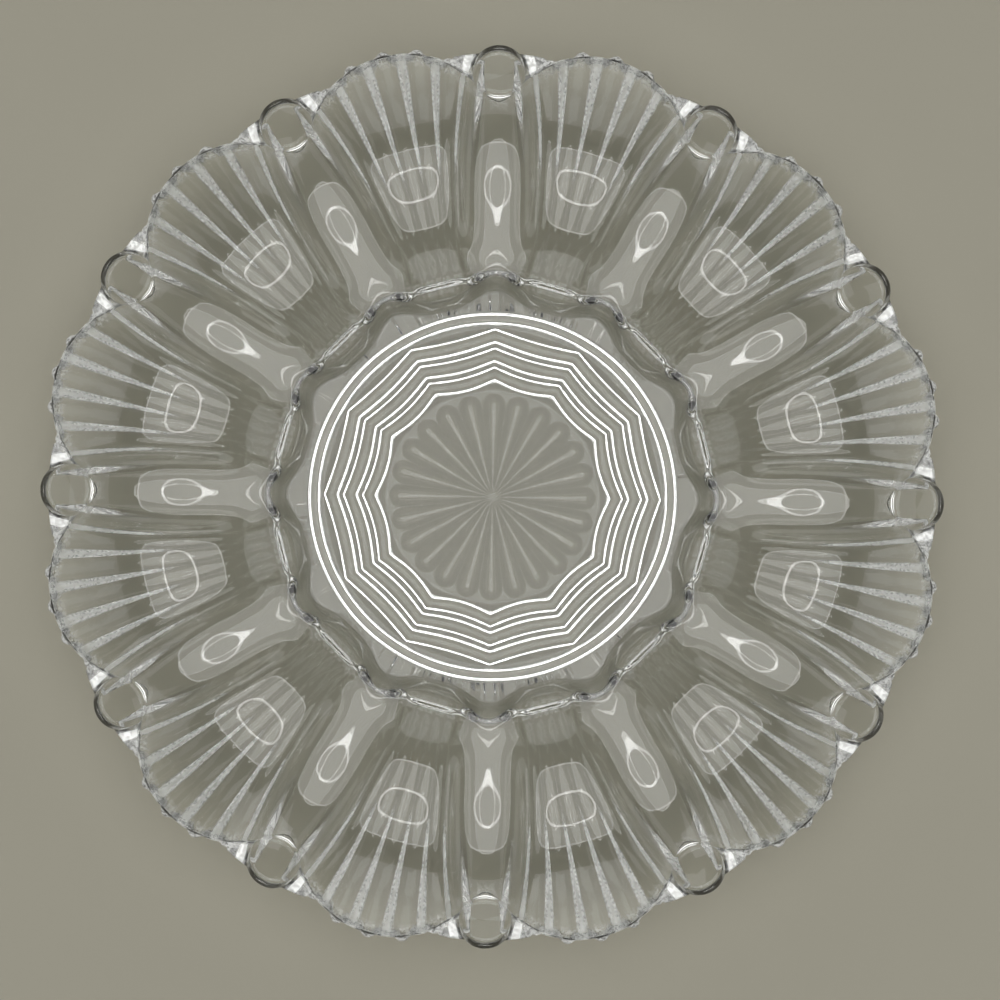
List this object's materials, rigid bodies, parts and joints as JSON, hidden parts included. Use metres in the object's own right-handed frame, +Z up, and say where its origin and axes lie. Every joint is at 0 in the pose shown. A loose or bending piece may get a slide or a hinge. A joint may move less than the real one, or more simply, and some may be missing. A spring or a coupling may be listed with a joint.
{
  "type": "deviled egg platter",
  "caption": "Round pressed-glass platter with ribbed shell-shaped egg wells in a ring round a flat star-reeded centre, with a scalloped rim and a foot ring.",
  "frame": {"origin": "centre of the foot ring, on the surface that the platter stands on", "axes": "+Z up, out of the wells; +Y through the first ridge and its coin"},
  "size_m": [0.2498, 0.2498, 0.0314],
  "materials": {
    "clear_glass": "clear colourless soda-lime pressed glass, fire polished, with a faint mould ripple"
  },
  "bodies": {
    "root": {"centre_disc": "clear_glass", "foot_ring": "clear_glass", "sunburst_ribs": "clear_glass", "star_reed_01": "clear_glass", "star_reed_02": "clear_glass", "star_reed_03": "clear_glass", "egg_well_01": "clear_glass", "egg_well_02": "clear_glass", "egg_well_03": "clear_glass", "egg_well_04": "clear_glass", "egg_well_05": "clear_glass", "egg_well_06": "clear_glass", "egg_well_07": "clear_glass", "egg_well_08": "clear_glass", "egg_well_09": "clear_glass", "egg_well_10": "clear_glass", "egg_well_11": "clear_glass", "egg_well_12": "clear_glass", "ridge_01": "clear_glass", "ridge_02": "clear_glass", "ridge_03": "clear_glass", "ridge_04": "clear_glass", "ridge_05": "clear_glass", "ridge_06": "clear_glass", "ridge_07": "clear_glass", "ridge_08": "clear_glass", "ridge_09": "clear_glass", "ridge_10": "clear_glass", "ridge_11": "clear_glass", "ridge_12": "clear_glass", "rim_coin_01": "clear_glass", "rim_coin_02": "clear_glass", "rim_coin_03": "clear_glass", "rim_coin_04": "clear_glass", "rim_coin_05": "clear_glass", "rim_coin_06": "clear_glass", "rim_coin_07": "clear_glass", "rim_coin_08": "clear_glass", "rim_coin_09": "clear_glass", "rim_coin_10": "clear_glass", "rim_coin_11": "clear_glass", "rim_coin_12": "clear_glass"}
  },
  "joints": []
}
